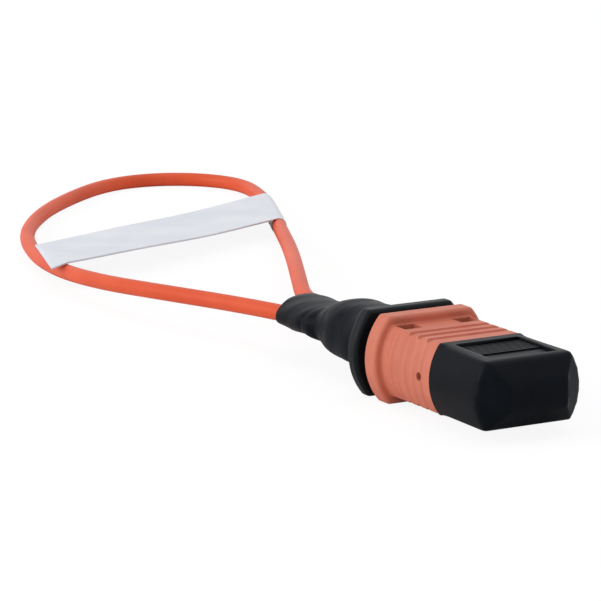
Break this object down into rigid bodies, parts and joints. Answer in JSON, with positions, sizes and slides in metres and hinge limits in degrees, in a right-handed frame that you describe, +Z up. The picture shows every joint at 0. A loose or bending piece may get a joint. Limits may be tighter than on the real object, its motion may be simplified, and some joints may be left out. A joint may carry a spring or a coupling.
{
  "type": "mpo fibre connector",
  "caption": "Multi-fibre push-pull loopback plug with pull sleeve, dust cap, boot, shrink tube and a short cable loop with a flag label.",
  "frame": {"origin": "on the surface the connector lies on, under the middle of the plug, boot and shrink tube without the cable and label", "axes": "+X along the plug to its mating face, +Y to the left of it, +Z up out of the key side"},
  "size_m": [0.1511, 0.055, 0.0095],
  "materials": {
    "sleeve_plastic": "satin moulded plastic",
    "housing_plastic": "satin moulded plastic",
    "ferrule_plastic": "fine ground filled plastic",
    "fibre_glass": "polished",
    "window_glue": "cured clear amber",
    "soft_rubber": "matte",
    "ribbon_coating": "satin",
    "spring_steel": "satin",
    "clamp_plastic": "satin",
    "aramid_yarn": "fibrous",
    "crimp_metal": "satin plated",
    "boot_plastic": "satin",
    "shrink_tube": "satin",
    "cable_jacket": "satin",
    "label_film": "satin film",
    "cap_plastic": "satin"
  },
  "bodies": {
    "housing": {"inner_housing": "housing_plastic", "spring_push": "clamp_plastic", "strength_yarn": "aramid_yarn", "crimp_sleeve": "crimp_metal", "boot": "boot_plastic", "heat_shrink": "shrink_tube", "cable_loop": "cable_jacket", "label_flag": "label_film", "ferrule_spring": "spring_steel", "return_spring_left": "spring_steel", "return_spring_right": "spring_steel"},
    "sleeve": {"outer_sleeve": "sleeve_plastic"},
    "ferrule": {"mt_ferrule": "ferrule_plastic", "fibres": "fibre_glass", "window_epoxy": "window_glue", "ferrule_boot": "soft_rubber", "pin_clamp": "clamp_plastic", "fibre_ribbon": "ribbon_coating"},
    "cap": {"dust_cap": "cap_plastic"}
  },
  "joints": [
    {"name": "sleeve_pull", "type": "slide", "parent": "housing", "child": "sleeve", "axis": [-1, 0, 0], "range_m": [0, 0.0015], "stiffness_N_per_m": 500, "springref_m": -0.002, "deforming": ["return_spring_left", "return_spring_right"]},
    {"name": "ferrule_push", "type": "slide", "parent": "housing", "child": "ferrule", "axis": [-1, 0, 0], "range_m": [0, 0.0008], "stiffness_N_per_m": 1800, "springref_m": -0.003, "deforming": ["ferrule_spring"]},
    {"name": "cap_pull", "type": "slide", "parent": "housing", "child": "cap", "axis": [1, 0, 0], "range_m": [0, 0.015]}
  ]
}
